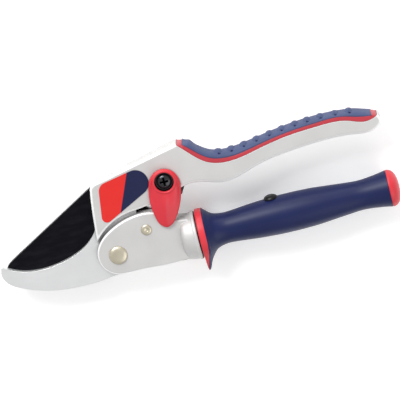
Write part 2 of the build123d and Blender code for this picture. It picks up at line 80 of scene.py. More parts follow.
# ---- Material helpers ----
class Shader:
    """A Principled material whose nodes are added one after another."""

    def __init__(self, name, metallic=0.0, **sockets):
        self.material = bpy.data.materials.new(name)
        self.material.use_nodes = True
        self.tree = self.material.node_tree
        self.body = self.tree.nodes["Principled BSDF"]
        self.body.inputs["Metallic"].default_value = metallic
        for socket, value in sockets.items():
            self.body.inputs[socket.replace("_", " ")].default_value = value
        self.place = self.tree.nodes.new("ShaderNodeTexCoord").outputs["Object"]

    def node(self, kind, links=None, **settings):
        made = self.tree.nodes.new(kind)
        for key, value in settings.items():
            setattr(made, key, value)
        for socket, source in (links or {}).items():
            if isinstance(source, bpy.types.NodeSocket):
                self.tree.links.new(source, made.inputs[socket])
            else:
                made.inputs[socket].default_value = source
        return made

    def stretch(self, scale):
        return self.node("ShaderNodeMapping", {"Vector": self.place, "Scale": scale}).outputs["Vector"]

    def noise(self, size_mm, detail=3.0, roughness=0.5, stretch=None):
        """Noise whose features are about size_mm across."""
        where = self.stretch(stretch) if stretch else self.place
        links = {"Vector": where, "Scale": 1.0 / (size_mm * MM), "Detail": detail, "Roughness": roughness}
        return self.node("ShaderNodeTexNoise", links).outputs["Fac"]

    def combine(self, operation, first, *second):
        """One or two values put through a sum of the given kind."""
        links = dict(enumerate((first,) + second))
        return self.node("ShaderNodeMath", links, operation=operation).outputs["Value"]

    def remap(self, value, low, high, out_low, out_high):
        links = {"Value": value, "From Min": low, "From Max": high, "To Min": out_low, "To Max": out_high}
        return self.node("ShaderNodeMapRange", links).outputs["Result"]

    def mix(self, factor, first, second):
        made = self.node("ShaderNodeMix", data_type="RGBA")
        for socket, source in ((0, factor), (6, first), (7, second)):
            if isinstance(source, bpy.types.NodeSocket):
                self.tree.links.new(source, made.inputs[socket])
            else:
                made.inputs[socket].default_value = source
        return made.outputs[2]

    def edges(self, radius_mm, low=0.02, high=0.25):
        """Mask that is 1 on convex and concave edges narrower than the radius."""
        soft = self.node("ShaderNodeBevel", {"Radius": radius_mm * MM}, samples=6).outputs["Normal"]
        hard = self.node("ShaderNodeNewGeometry").outputs["Normal"]
        turn = self.node("ShaderNodeVectorMath", {0: soft, 1: hard}, operation="DOT_PRODUCT").outputs["Value"]
        return self.remap(turn, 1.0 - low, 1.0 - high, 0.0, 1.0)

    def bump(self, height, distance_mm, strength=1.0, under=None):
        links = {"Height": height, "Distance": distance_mm * MM, "Strength": strength}
        if under is not None:
            links["Normal"] = under
        return self.node("ShaderNodeBump", links).outputs["Normal"]

    def rounded(self):
        """Mask that is 1 where a surface turns from a flat face into a side wall."""
        turn = self.tree.nodes.new("ShaderNodeTexCoord").outputs["Normal"]
        tilt = self.node("ShaderNodeSeparateXYZ", {"Vector": turn}).outputs["Z"]
        size = self.combine("ABSOLUTE", tilt)
        rise = self.remap(size, 0.08, 0.35, 0.0, 1.0)
        fall = self.remap(size, 0.85, 0.985, 1.0, 0.0)
        return self.combine("MULTIPLY", rise, fall)

    def crease_shade(self, reach_mm, low=0.25, high=0.8):
        """Mask that is 1 deep in corners and slots, where painted shade goes."""
        node = self.node("ShaderNodeAmbientOcclusion", {"Distance": reach_mm * MM}, samples=8)
        open_sky = node.outputs["AO"]
        return self.remap(open_sky, low, high, 1.0, 0.0)

    def soften(self, radius_mm):
        return self.node("ShaderNodeBevel", {"Radius": radius_mm * MM}, samples=6).outputs["Normal"]

    def done(self, colour=None, roughness=None, normal=None):
        for socket, source in (("Base Color", colour), ("Roughness", roughness), ("Normal", normal)):
            if source is not None:
                self.tree.links.new(source, self.body.inputs[socket])
        return self.material


def casting_material():
    """Blasted and clear-lacquered aluminium. Its edges are lighter, partly rubbed wear and partly painted
    highlight; a painted highlight runs along each rounded rim where a flat face turns into a side wall, though not
    on the round collar; corners and slots carry painted shade.
    """
    s = Shader("cast_aluminium", metallic=0.35)
    cloud = s.noise(14, detail=2)
    grain = s.noise(0.35, detail=4, roughness=0.7)
    tone = s.mix(s.remap(cloud, 0.3, 0.7, 0.0, 1.0), (0.53, 0.525, 0.52, 1), (0.57, 0.565, 0.56, 1))
    # Lighter edges: partly rubbed wear, partly painted highlight.
    colour = s.mix(s.edges(0.8), tone, (0.84, 0.845, 0.85, 1))
    place = s.node("ShaderNodeSeparateXYZ", {"Vector": s.place}).outputs
    before_collar = s.remap(place["X"], (COLLAR_FROM - 1) * MM, (COLLAR_FROM + 1) * MM, 1.0, 0.0)
    above_collar = s.remap(place["Y"], (COLLAR_TOP - 1) * MM, (COLLAR_TOP + 1) * MM, 0.0, 1.0)
    flat_part = s.combine("MAXIMUM", before_collar, above_collar)
    # Painted highlight where flat faces round into side walls, kept off the collar and neck.
    rim_highlight = s.combine("MULTIPLY", s.rounded(), flat_part)
    colour = s.mix(rim_highlight, colour, (0.90, 0.90, 0.90, 1))
    # Painted shade in corners and slots.
    colour = s.mix(s.crease_shade(2.0, 0.2, 0.65), colour, (0.06, 0.06, 0.062, 1))
    rough = s.remap(s.noise(2.2), 0.3, 0.7, 0.46, 0.56)
    return s.done(colour, rough, s.bump(grain, 0.03, 0.5, s.soften(0.35)))


def ground_steel_material(name, tone, lines=(0.06, 1.0, 1.0)):
    """Steel ground along one direction, so its fine lines are drawn out."""
    s = Shader(name, metallic=0.75)
    scratch = s.noise(0.5, detail=5, roughness=0.65, stretch=lines)
    cloud = s.noise(18, detail=2)
    dark = tuple(c * 0.93 for c in tone) + (1,)
    colour = s.mix(s.remap(cloud, 0.3, 0.7, 0.0, 1.0), dark, tone + (1,))
    # Lighter edges: painted highlight.
    colour = s.mix(s.edges(0.4), colour, tuple(min(1.0, c * 1.25) for c in tone) + (1,))
    # Painted shade in corners and slots.
    colour = s.mix(s.crease_shade(2.8, 0.2, 0.7), colour, (0.03, 0.03, 0.032, 1))
    rough = s.remap(scratch, 0.3, 0.7, 0.32, 0.46)
    return s.done(colour, rough, s.bump(scratch, 0.02, 0.4, s.soften(0.25)))


def coating_material():
    """Black non-stick coating with faint rub marks and a grey-worn edge."""
    s = Shader("blade_coating", Specular_IOR_Level=0.08)
    streak = s.noise(3.0, detail=5, roughness=0.6, stretch=(0.25, 1.0, 1.0))
    fine = s.noise(0.25, detail=3, roughness=0.7)
    colour = s.mix(s.remap(streak, 0.45, 0.75, 0.0, 1.0), (0.003, 0.003, 0.005, 1), (0.007, 0.007, 0.010, 1))
    colour = s.mix(s.edges(0.25, 0.05, 0.6), colour, (0.10, 0.10, 0.11, 1))
    rough = s.remap(streak, 0.3, 0.7, 0.34, 0.46)
    return s.done(colour, rough, s.bump(fine, 0.015, 0.4, s.soften(0.15)))


def plastic_material(name, tone, roughness, grain_mm, depth_mm, lift=1.12, shine=0.5):
    """Moulded plastic or rubber with a fine grain. Its edges carry painted light: painted highlight where lift is
    above 1, painted shade where it is below 1.
    """
    s = Shader(name, Specular_IOR_Level=shine)
    cloud = s.noise(11, detail=2)
    grain = s.noise(grain_mm, detail=3, roughness=0.6)
    deep = tuple(c * 0.9 for c in tone) + (1,)
    colour = s.mix(s.remap(cloud, 0.3, 0.7, 0.0, 1.0), deep, tone + (1,))
    # Edge colour for painted light: lighter as painted highlight, darker as painted shade.
    edge_light = tuple(min(1.0, c * lift + 0.01) for c in tone) + (1,)
    colour = s.mix(s.edges(0.5, 0.03, 0.4), colour, edge_light)
    rough = s.remap(grain, 0.3, 0.7, roughness - 0.06, roughness + 0.06)
    return s.done(colour, rough, s.bump(grain, depth_mm, 0.6, s.soften(0.3)))


def plated_material(name, tone, low, high):
    """Plated metal with a faint cloudy haze."""
    s = Shader(name, metallic=0.75)
    haze = s.noise(4.0, detail=2)
    dark = tuple(c * 0.92 for c in tone) + (1,)
    colour = s.mix(s.remap(haze, 0.35, 0.65, 0.0, 1.0), dark, tone + (1,))
    rough = s.remap(haze, 0.3, 0.7, low, high)
    return s.done(colour, rough, s.bump(s.noise(0.4), 0.001, 0.3, s.soften(0.2)))


def label_material():
    """Glossy sticker: a red field and a navy field, with no print."""
    s = Shader("label_vinyl", Specular_IOR_Level=0.3, Coat_Weight=0.12, Coat_Roughness=0.2)
    place = s.node("ShaderNodeSeparateXYZ", {"Vector": s.place}).outputs
    across = s.combine("ADD", place["X"], s.combine("MULTIPLY", place["Y"], -SPLIT_LEAN))
    side = s.remap(across, (SPLIT_AT - 0.05) * MM, (SPLIT_AT + 0.05) * MM, 0.0, 1.0)
    red = s.mix(s.noise(6), (0.60, 0.016, 0.014, 1), (0.64, 0.022, 0.018, 1))
    navy = s.mix(s.noise(6), (0.005, 0.008, 0.045, 1), (0.007, 0.010, 0.052, 1))
    rough = s.remap(s.noise(1.2), 0.3, 0.7, 0.30, 0.38)
    return s.done(s.mix(side, red, navy), rough, s.bump(s.noise(0.6), 0.01, 0.3))


CASTING = casting_material()
HOOK = ground_steel_material("hook_steel", (0.83, 0.835, 0.84))
STEEL = ground_steel_material("plain_steel", (0.5, 0.5, 0.51), (1.0, 1.0, 0.1))
WIRE = ground_steel_material("spring_wire", (0.35, 0.35, 0.36), (1.0, 1.0, 1.0))
BLADE = coating_material()
# The lighter edges of these plastics are painted highlight.
RED = plastic_material("red_plastic", (0.62, 0.030, 0.045), 0.42, 0.35, 0.02, lift=1.35, shine=0.4)
NAVY = plastic_material("navy_soft", (0.007, 0.013, 0.070), 0.42, 0.28, 0.02, lift=1.3, shine=0.26)
PAD = plastic_material("navy_pad", (0.045, 0.064, 0.150), 0.62, 0.28, 0.03, lift=1.25, shine=0.35)
# The strip's edges are darkened: painted shade.
STRIP = plastic_material("red_strip", (0.42, 0.030, 0.045), 0.45, 0.35, 0.02, lift=0.25, shine=0.4)
BLACK = plastic_material("black_plastic", (0.005, 0.005, 0.006), 0.35, 0.4, 0.01, shine=0.3)
ACETAL = plastic_material("acetal", (0.75, 0.74, 0.70), 0.45, 0.4, 0.01)
NICKEL = plated_material("nickel_plate", (0.60, 0.55, 0.43), 0.34, 0.42)
BRONZE = plated_material("bronze", (0.52, 0.33, 0.16), 0.35, 0.5)
DARK_SCREW = plated_material("black_oxide", (0.045, 0.047, 0.052), 0.16, 0.24)
# Black with almost no shine for the screw's cross recess: painted shade.
RECESS_SHADE = plastic_material("recess_shade", (0.002, 0.002, 0.002), 0.6, 0.4, 0.01, lift=1.0, shine=0.02)
LABEL = label_material()

FINISHES = {
    "casting": CASTING, "hook_steel": HOOK, "steel": STEEL, "spring_steel": WIRE, "bronze": BRONZE,
    "nickel": NICKEL, "black_steel": DARK_SCREW, "blade_coating": BLADE, "red_plastic": RED,
    "red_strip": STRIP, "navy_soft": NAVY, "label": LABEL, "black_plastic": BLACK, "bush_plastic": ACETAL,
}


def dress(piece, material):
    """Give a mesh one material."""
    piece.data.materials.clear()
    piece.data.materials.append(material)


SLOT_OF = {part["node"]: part["material_slot"] for part in frame["record"]["subparts"]}
for name, node in nodes.items():
    dress(node, FINISHES[SLOT_OF[name]])


# ---- Mesh helpers ----
def at(x, y, height):
    """A point given in millimetres, its height counted from the castings' middle plane."""
    return Vector((x * MM, y * MM, MID + height * MM))


def curve_through(points, closed=False, steps=12):
    """Catmull-Rom curve through 2-D points."""
    count = len(points)
    spans = count if closed else count - 1
    found = []
    for i in range(spans):
        if closed:
            a, b, c, d = (points[(i + k) % count] for k in (-1, 0, 1, 2))
        else:
            a, b, c, d = (points[min(max(i + k, 0), count - 1)] for k in (-1, 0, 1, 2))
        for n in range(steps):
            t = n / steps
            found.append(tuple(
                0.5 * (2 * b[j] + (c[j] - a[j]) * t + (2 * a[j] - 5 * b[j] + 4 * c[j] - d[j]) * t ** 2
                       + (3 * b[j] - a[j] - 3 * c[j] + d[j]) * t ** 3) for j in (0, 1)))
    return found if closed else found + [points[-1]]


def value_at(points, x):
    """Straight-line reading of a table of (x, value) pairs."""
    for (x0, v0), (x1, v1) in zip(points, points[1:]):
        if x <= x1:
            return v0 + (v1 - v0) * max(0.0, x - x0) / (x1 - x0)
    return points[-1][1]


def skin(rings, loop=False):
    """Vertices and faces over closed rings of points. A loop joins the last ring to the first; otherwise
    both ends are capped."""
    size = len(rings[0])
    verts = [point for ring in rings for point in ring]
    pairs = [(r, r + 1) for r in range(len(rings) - 1)]
    if loop:
        pairs.append((len(rings) - 1, 0))
    faces = []
    for low, high in pairs:
        for i in range(size):
            j = (i + 1) % size
            faces.append((low * size + i, low * size + j, high * size + j, high * size + i))
    if not loop:
        faces.append(tuple(range(size)))
        faces.append(tuple((len(rings) - 1) * size + i for i in range(size)))
    return verts, faces


def add_piece(name, shape, material, body, stands_for, sharp=38.0):
    """Mesh piece that rides on a body and stands for CAD nodes. Without a body it is left free to blend."""
    mesh = bpy.data.meshes.new(name)
    verts, faces = shape
    mesh.from_pydata(verts, [], faces)
    work = bmesh.new()
    work.from_mesh(mesh)
    bmesh.ops.remove_doubles(work, verts=work.verts, dist=0.001 * MM)
    bmesh.ops.recalc_face_normals(work, faces=work.faces)
    for face in work.faces:
        face.smooth = True
    work.to_mesh(mesh)
    work.free()
    mesh.set_sharp_from_angle(angle=math.radians(sharp))
    piece = bpy.data.objects.new(name, mesh)
    bpy.context.scene.collection.objects.link(piece)
    mesh.materials.append(material)
    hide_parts(*stands_for)
    if body:
        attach(piece, body)
    return piece


def paint(piece, material, chosen):
    """Give a second material to the faces that chosen(x, y, height, normal) picks, in at()'s millimetres."""
    piece.data.materials.append(material)
    for face in piece.data.polygons:
        spot = face.center
        if chosen(spot.x / MM, spot.y / MM, (spot.z - MID) / MM, face.normal):
            face.material_index = 1


def turned(profile, place, count=72):
    """Turned solid. The profile lists (radius, height); place maps two cross distances and a height."""
    turns = [2 * math.pi * i / count for i in range(count)]
    return skin([[place(r * math.cos(a), r * math.sin(a), h) for a in turns] for r, h in profile])


# ---- Thumb lock's lever: ruled from its outline up to a raised rim, with a recess whose walls and floor are painted black as shade ----
LOCK = (34.0, 34.2)
LEVER_OUTLINE = [(35.0, 40.75), (31.3, 40.4), (28.3, 38.6), (26.2, 36.0), (25.0, 32.6), (24.2, 28.7),
                 (23.8, 24.8), (23.9, 20.6), (24.5, 16.6), (25.2, 13.4), (26.6, 10.8), (29.5, 9.0),
                 (32.2, 9.8), (34.2, 11.5), (36.7, 14.9), (38.6, 18.4), (40.4, 22.6), (41.6, 26.8),
                 (42.2, 31.2), (41.4, 35.6), (38.9, 39.0)]
# (inset, height) up the lever's edge, and (radius, height) over the rim and down its recess
LEVER_EDGE = [(0.5, 7.9), (0.12, 8.0), (0.0, 8.3), (0.0, 8.8), (0.1, 9.15), (0.3, 9.45), (0.6, 9.65),
              (0.9, 9.78)]
LEVER_RIM = [(6.5, 11.6), (6.35, 11.85), (6.12, 12.04), (5.85, 12.1), (5.55, 12.02), (5.3, 11.8),
             (5.18, 11.5), (5.15, 11.0), (5.15, 8.7), (5.0, 8.5), (2.05, 8.5), (2.05, 7.9)]
RULED_STEPS = 10
LEVER_TIP = (29.5, 9.0)
SWELL, SWELL_FULL = 0.5, 6.0        # how far the arm bulges, and the ruled length that gives all of it
RIDGE_RISE, RIDGE_WIDTH = 0.7, 1.3
# Within these limits the recess's walls and floor are painted black: painted shade.
SHADE_REACH, SHADE_LOW, SHADE_HIGH = 5.81, 7.95, 11.0       # the black part of the recess


def lever_shape():
    """Edge rings that follow the outline, ruled up to the round rim."""
    outline = curve_through(LEVER_OUTLINE, closed=True, steps=9)
    count = len(outline)
    normals = []
    for k in range(count):
        a, b = outline[k - 1], outline[(k + 1) % count]
        normal = Vector((b[1] - a[1], a[0] - b[0])).normalized()
        out = Vector(outline[k]) - Vector(LOCK)
        normals.append(normal if normal.dot(out) > 0 else -normal)
    rings = [[at(p[0] - n.x * inset, p[1] - n.y * inset, z) for p, n in zip(outline, normals)]
             for inset, z in LEVER_EDGE]
    rays = [(Vector(p) - Vector(LOCK)).normalized() for p in outline]

    def circle(radius, z):
        return [at(LOCK[0] + ray.x * radius, LOCK[1] + ray.y * radius, z) for ray in rays]

    way = (Vector(LEVER_TIP) - Vector(LOCK)).normalized()

    def ridge(point):
        """Soft ridge that runs from the recess to the tip."""
        out = Vector((point.x / MM, point.y / MM)) - Vector(LOCK)
        beside = abs(out.x * way.y - out.y * way.x)
        return RIDGE_RISE * math.exp(-(beside / RIDGE_WIDTH) ** 2) if out.dot(way) > 0 else 0.0

    low, high = rings[-1], circle(*LEVER_RIM[0])
    for step in range(1, RULED_STEPS):
        t = step / RULED_STEPS
        swell = Vector((0, 0, SWELL * MM * math.sin(math.pi * t)))
        full = SWELL_FULL * MM
        ring = [a.lerp(b, t) + swell * min(1.0, (a - b).length / full) for a, b in zip(low, high)]
        rings.append([p + Vector((0, 0, ridge(p) * MM * math.sin(math.pi * t) ** 0.5)) for p in ring])
    rings += [circle(radius, z) for radius, z in LEVER_RIM]
    return skin(rings, loop=True)


lever = add_piece("lever_moulding", lever_shape(), RED, "thumb_lock", ["lock_lever"])
# Painted shade: the recess's walls and floor get black.
paint(lever, BLACK, lambda x, y, z, normal:
      math.hypot(x - LOCK[0], y - LOCK[1]) < SHADE_REACH and SHADE_LOW < z < SHADE_HIGH)


# ---- Lock screw with a cross recess, whose faces are painted black as shade ----
CROSS_TAPER = 0.6


def bar_cutter(centre, size_x, size_y, top, depth):
    """Bar whose longer sides taper inwards with depth."""
    tool = bmesh.new()
    taper_x = CROSS_TAPER if size_x > size_y else 1.0
    taper_y = CROSS_TAPER if size_y > size_x else 1.0
    corners = []
    for z, sx, sy in ((top, 1.0, 1.0), (top - depth, taper_x, taper_y)):
        corners += [tool.verts.new(at(centre[0] + x * size_x * sx / 2, centre[1] + y * size_y * sy / 2, z))
                    for x, y in ((-1, -1), (1, -1), (1, 1), (-1, 1))]
    for loop in ((0, 1, 2, 3), (4, 5, 6, 7), (0, 1, 5, 4), (1, 2, 6, 5), (2, 3, 7, 6), (3, 0, 4, 7)):
        tool.faces.new([corners[i] for i in loop])
    bmesh.ops.recalc_face_normals(tool, faces=tool.faces)
    mesh = bpy.data.meshes.new("bar_cutter")
    tool.to_mesh(mesh)
    tool.free()
    return bpy.data.objects.new("bar_cutter", mesh)


def cut_away(piece, cutter):
    """Subtract the cutter from the piece's mesh and drop the cutter."""
    bpy.context.scene.collection.objects.link(cutter)
    cut = piece.modifiers.new("cut", "BOOLEAN")
    cut.operation = "DIFFERENCE"
    cut.solver = "EXACT"
    cut.object = cutter
    bpy.context.view_layer.update()
    mesh = bpy.data.meshes.new_from_object(piece.evaluated_get(bpy.context.evaluated_depsgraph_get()))
    piece.modifiers.clear()
    piece.data = mesh
    bpy.data.objects.remove(cutter)
    mesh.set_sharp_from_angle(angle=math.radians(30))


SCREW_TOP = 11.12
SCREW_PROFILE = [(0, -1.0), (2.0, -1.0), (2.0, 8.9), (4.0, 8.9), (4.2, 9.1), (4.2, 9.35), (4.05, 9.75),
                 (3.65, 10.2), (3.0, 10.6), (2.2, 10.9), (1.2, 11.08), (0, SCREW_TOP)]
DOME_FALL = 0.045       # the head's dome falls by this times the radius squared
CROSS_LENGTH, CROSS_WIDTH, CROSS_FROM, CROSS_DEPTH = 5.2, 1.2, 11.5, 2.4
CROSS_REACH, CROSS_BELOW, CROSS_LOW = 2.8, 0.12, 8.5        # where the cross's faces lie


def in_cross(x, y, z, normal):
    """Whether a spot on the screw lies inside its cross recess."""
    from_axis = math.hypot(x - LOCK[0], y - LOCK[1])
    dome = SCREW_TOP - DOME_FALL * from_axis ** 2
    return from_axis < CROSS_REACH and CROSS_LOW < z < dome - CROSS_BELOW


lock_screw = add_piece("lock_screw_domed",
                       turned(SCREW_PROFILE, lambda a, b, h: at(LOCK[0] + a, LOCK[1] + b, h)),
                       DARK_SCREW, "upper_side", ["lock_screw"])
for size_x, size_y in ((CROSS_LENGTH, CROSS_WIDTH), (CROSS_WIDTH, CROSS_LENGTH)):
    cut_away(lock_screw, bar_cutter(LOCK, size_x, size_y, CROSS_FROM, CROSS_DEPTH))
# The cross recess's faces are painted black: painted shade.
paint(lock_screw, RECESS_SHADE, in_cross)


# ---- Pivot bolt and blade rivet ----
PIVOT_PROFILE = [(0, -8.9), (3.4, -8.9), (3.4, 7.5), (4.9, 7.5), (5.0, 7.62), (5.0, 7.8), (4.85, 8.1),
                 (4.45, 8.42), (3.8, 8.68), (2.9, 8.86), (1.8, 8.96), (0.8, 8.99), (0, 9.0)]
add_piece("pivot_bolt_domed", turned(PIVOT_PROFILE, at, 96), NICKEL, "lower_side", ["pivot_bolt"])

RIVET = (18.1, 10.0)
RIVET_HEAD_R, RIVET_SEAT = 2.95, 7.5
RIVET_PROFILE = [(0, -8.2), (1.6, -8.2), (2.6, -7.9), (RIVET_HEAD_R, -RIVET_SEAT), (1.9, -RIVET_SEAT),
                 (1.9, RIVET_SEAT), (RIVET_HEAD_R, RIVET_SEAT), (RIVET_HEAD_R, 7.7), (2.75, 7.98), (2.3, 8.2),
                 (1.75, 8.3), (1.3, 8.28), (1.0, 8.18), (0.72, 8.03), (0.36, 7.92), (0, 7.88)]
DIMPLE_SLIDE = (0.35, 0.105)     # the rivet's dimple sits this far off centre


def rivet_point(a, b, h):
    """Point on the rivet, whose front head leans so that its dimple is off centre."""
    share = max(0.0, 1.0 - math.hypot(a, b) / RIVET_HEAD_R) if h > RIVET_SEAT else 0.0
    return at(RIVET[0] + a + DIMPLE_SLIDE[0] * share, RIVET[1] + b + DIMPLE_SLIDE[1] * share, h)


add_piece("blade_rivet_domed", turned(RIVET_PROFILE, rivet_point), NICKEL, "lower_side",
          ["blade_rivet"])


# ---- Rotating grip: one outer surface, red in front of a curved joint line and navy behind it ----
GRIP_START, GRIP_END = 44.9, 149.8
GRIP_DROP = [(GRIP_START, 20.0), (45.2, 20.6), (45.7, 20.8), (46.5, 20.0), (47.1, 18.6), (47.7, 17.0),
             (48.6, 15.1), (49.7, 13.5), (51.0, 11.8), (52.4, 10.4), (54.0, 8.0)]
GRIP_ROUND = curve_through([(GRIP_START, 13.9), (48.6, 13.75), (49.3, 13.1), (50.6, 11.9), (53.6, 9.6),
                            (58.5, 8.5), (64.0, 8.6), (77.0, 9.8), (92.0, 10.5), (108.0, 10.2),
                            (123.0, 8.9), (134.0, 8.1), (143.0, 8.9), (GRIP_END, 10.05)])
GUARD_TIP = 4.2
FRONT_ROUND = 0.7
FACE_R = 12.0
SLEEVE_R, SLEEVE_BORE_R, SLEEVE_END = 6.4, 5.0, 149.6
COVER_BORE_R = 7.5
END_ROUND = 0.12
JOIN_TOP, JOIN_LEAST, JOIN_PROBE, JOIN_SPREAD = 48.6, 45.55, 46.3, 108       # the line between red and navy
JOIN_GROOVE = 0.14
COVER_STEP, COVER_STEPS = 1.333, 70
SHIFT_END = 56.5        # the cover's rings follow the joint line up to here, and stand straight after it
TURNS = [2 * math.pi * i / 128 for i in range(128)]      # angles about the grip's axis from straight down


def around(x, radius, turn):
    """Point at an angle about the grip's axis, in mm."""
    return at(x, GRIP_Y / MM - radius * math.cos(turn), radius * math.sin(turn))


def hull_radius(x, turn):
    """Reach of the hull of the grip's round section and the guard's tip circle."""
    big = value_at(GRIP_ROUND, x)
    drop = value_at(GRIP_DROP, x)
    small = min(GUARD_TIP, big - 0.01)
    centre = drop - small
    turn = abs(math.remainder(turn, 2 * math.pi))
    if centre <= big - small:
        return big
    lean = math.acos((big - small) / centre)
    if turn >= lean:
        return big
    edge = math.atan2(small * math.sin(lean), centre + small * math.cos(lean))
    if turn >= edge:
        return big / math.cos(lean - turn)
    return centre * math.cos(turn) + math.sqrt(max(0.0, small ** 2 - (centre * math.sin(turn)) ** 2))


def join_at(turn):
    """Where the joint line between red and navy crosses this angle."""
    below = max(0.0, hull_radius(JOIN_PROBE, turn) * math.cos(turn))
    return max(JOIN_LEAST, JOIN_TOP - below ** 2 / JOIN_SPREAD)


def ring_at(x, radius):
    """Round ring of the grip."""
    return [around(x, radius, t) for t in TURNS]


def flange_shape():
    """Red flange and finger guard with a rounded front edge, and the sleeve behind them."""
    steps = [0.0, 0.05, 0.12, 0.2, 0.3, 0.42, 0.56, 0.7, 0.85, 0.96, 1.0]
    rings = [ring_at(GRIP_START, SLEEVE_BORE_R), ring_at(GRIP_START, FACE_R)]
    for step in steps:
        ring = []
        for t in TURNS:
            x = GRIP_START + (join_at(t) - GRIP_START) * step
            near = max(0.0, FRONT_ROUND - (x - GRIP_START))
            cut = FRONT_ROUND - math.sqrt(FRONT_ROUND ** 2 - near ** 2)
            groove = JOIN_GROOVE if step == 1.0 else 0.0
            ring.append(around(x, hull_radius(x, t) - cut - groove, t))
        rings.append(ring)
    rings.append([around(join_at(t), SLEEVE_R, t) for t in TURNS])
    rings.append(ring_at(SLEEVE_END, SLEEVE_R))
    rings.append(ring_at(SLEEVE_END, SLEEVE_BORE_R))
    return skin(rings, loop=True)


def cover_shape():
    """Navy cover from the joint line to the cap, with a fine groove at the joint."""
    stops = [JOIN_TOP, 48.66, 48.75, 48.9, 49.2, 49.6, 50.1, 50.7, 51.4, 52.2, 53.0, 54.0, 55.2, SHIFT_END]
    grooves = [JOIN_GROOVE, 0.04] + [0.0] * (len(stops) - 2)
    rings = []
    for stop, groove in zip(stops, grooves):
        ring = []
        for t in TURNS:
            start = join_at(t)
            x = start + (stop - JOIN_TOP) * (SHIFT_END - start) / (SHIFT_END - JOIN_TOP)
            ring.append(around(x, hull_radius(x, t) - groove, t))
        rings.append(ring)
    for n in range(1, COVER_STEPS):
        x = SHIFT_END + COVER_STEP * n
        rings.append(ring_at(x, value_at(GRIP_ROUND, x)))
    end_r = value_at(GRIP_ROUND, GRIP_END)
    rings.append(ring_at(GRIP_END - END_ROUND, end_r))
    rings.append(ring_at(GRIP_END, end_r - END_ROUND))
    rings.append(ring_at(GRIP_END, COVER_BORE_R))
    rings.append([around(join_at(t), COVER_BORE_R, t) for t in TURNS])
    return skin(rings, loop=True)


add_piece("grip_flange_moulding", flange_shape(), RED, "turning_grip", ["grip_sleeve"])
add_piece("grip_cover_moulding", cover_shape(), NAVY, "turning_grip", ["grip_cover"])

CAP_PROFILE = [(0, 147.2), (6.2, 147.2), (6.2, 149.85), (9.85, 149.85), (10.05, 149.95), (10.12, 150.2),
               (10.05, 151.0), (9.7, 152.0), (9.0, 153.0), (7.9, 153.95), (6.4, 154.7), (4.4, 155.2),
               (2.2, 155.4), (0, 155.4)]
add_piece("grip_end_bumper", turned(CAP_PROFILE, lambda a, b, h: at(h, GRIP_Y / MM + a, b), 96),
          RED, "turning_grip", ["grip_end_cap"])

STOP_PROFILE = [(0, 3.0), (1.5, 3.0), (1.5, 5.1), (1.9, 5.1), (1.9, 7.5), (3.2, 7.5), (3.2, 9.8), (3.7, 9.9),
                (3.9, 10.3), (3.75, 10.8), (3.35, 11.3), (2.7, 11.75), (1.9, 12.05), (0.9, 12.2), (0, 12.22)]
STOP_AT = 86.7
STOP_TILT = math.radians(2.0)       # the button leans this far towards the front


def stop_point(a, b, h):
    """Point on the stop screw, which stands across the grip's axis."""
    up = h * math.cos(STOP_TILT) - b * math.sin(STOP_TILT)
    return at(STOP_AT + a, GRIP_Y / MM + up, h * math.sin(STOP_TILT) + b * math.cos(STOP_TILT))


add_piece("stop_button", turned(STOP_PROFILE, stop_point), BLACK, "turning_grip",
          ["grip_stop_screw"])


# ---- Upper handle's red strip and navy pad: the pad is crowned, and each of its pips has a small pit, painted darker as shade ----
PAD_START, PAD_END, PAD_HALF = 47.9, 150.3, 7.48
STRIP_START, STRIP_END, STRIP_HALF = 44.9, 153.0, 7.52
STATION = 0.3           # step along the handle
BESIDE_PIPS = 2.6       # height above the mid-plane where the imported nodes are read, clear of the pips
CROWN_DROP = 0.5        # the crowned crest lies this far below the node's flat top
SKIRT_DROP, SKIRT_INSET = 0.3, 0.35     # the pad's hidden foot inside the strip
TIP_ROUND, TIP_INSET = 150.5, 2.2       # the strip narrows from here to its end, by this much
BARE_DROP = 0.35        # the strip's crown where the pad doesn't cover it
START_DROP = 0.5
PIP_XS = [65.6, 72.5, 79.5, 86.7, 94.1, 101.2, 108.6, 115.5, 122.9, 130.9, 138.5]
PIP_HALF_LENGTH, PIP_HALF_WIDTH, PIP_MIDDLE, PIP_RISE = 2.15, 4.6, 0.2, 1.15
PIP_FADE = 3.0          # the pips fade out over this length at both ends of the pad
PIT_SLIDE, PIT_Z = 0.5, 4.7     # each pip's pit, from the pip's middle and from the mid-plane
PIT_LENGTH, PIT_WIDTH, PIT_DEPTH, PIT_SHADE_R = 0.7, 0.8, 1.3, 0.75

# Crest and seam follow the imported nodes, apart from (x, limit) at the tip and (x, drop) at the start
TIP_CREST = [(40.0, 60.0), (137.0, 60.0), (139.5, 46.3), (142.4, 45.6), (144.9, 44.8), (147.1, 44.0),
             (149.7, 43.0), (151.6, 42.3), (152.4, 41.6), (160.0, 36.0)]
TIP_SEAM = [(40.0, 60.0), (143.0, 60.0), (144.3, 42.8), (147.0, 42.35), (150.6, 42.0), (160.0, 41.0)]
START_CREST_DROP = [(47.0, 1.5), (50.5, 1.2), (53.0, 0.5), (56.0, 0.0), (200.0, 0.0)]
START_SEAM_DROP = [(47.0, 0.7), (54.0, 0.5), (62.0, 0.25), (68.0, 0.0), (200.0, 0.0)]


def levels_of(name, start, end):
    """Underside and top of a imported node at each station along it, read beside the row of pips."""
    node = nodes[name]
    tree = BVHTree.FromPolygons([node.matrix_world @ v.co for v in node.data.vertices],
                                [tuple(face.vertices) for face in node.data.polygons])
    found = []
    for n in range(int((end - start) / STATION) + 1):
        x = start + n * STATION
        up = tree.ray_cast(at(x, 0, BESIDE_PIPS), Vector((0, 1, 0)))[0]
        down = tree.ray_cast(at(x, 80, BESIDE_PIPS), Vector((0, -1, 0)))[0]
        if up and down and down.y - up.y > 0.05 * MM:
            found.append((x, up.y / MM, down.y / MM))
    return found


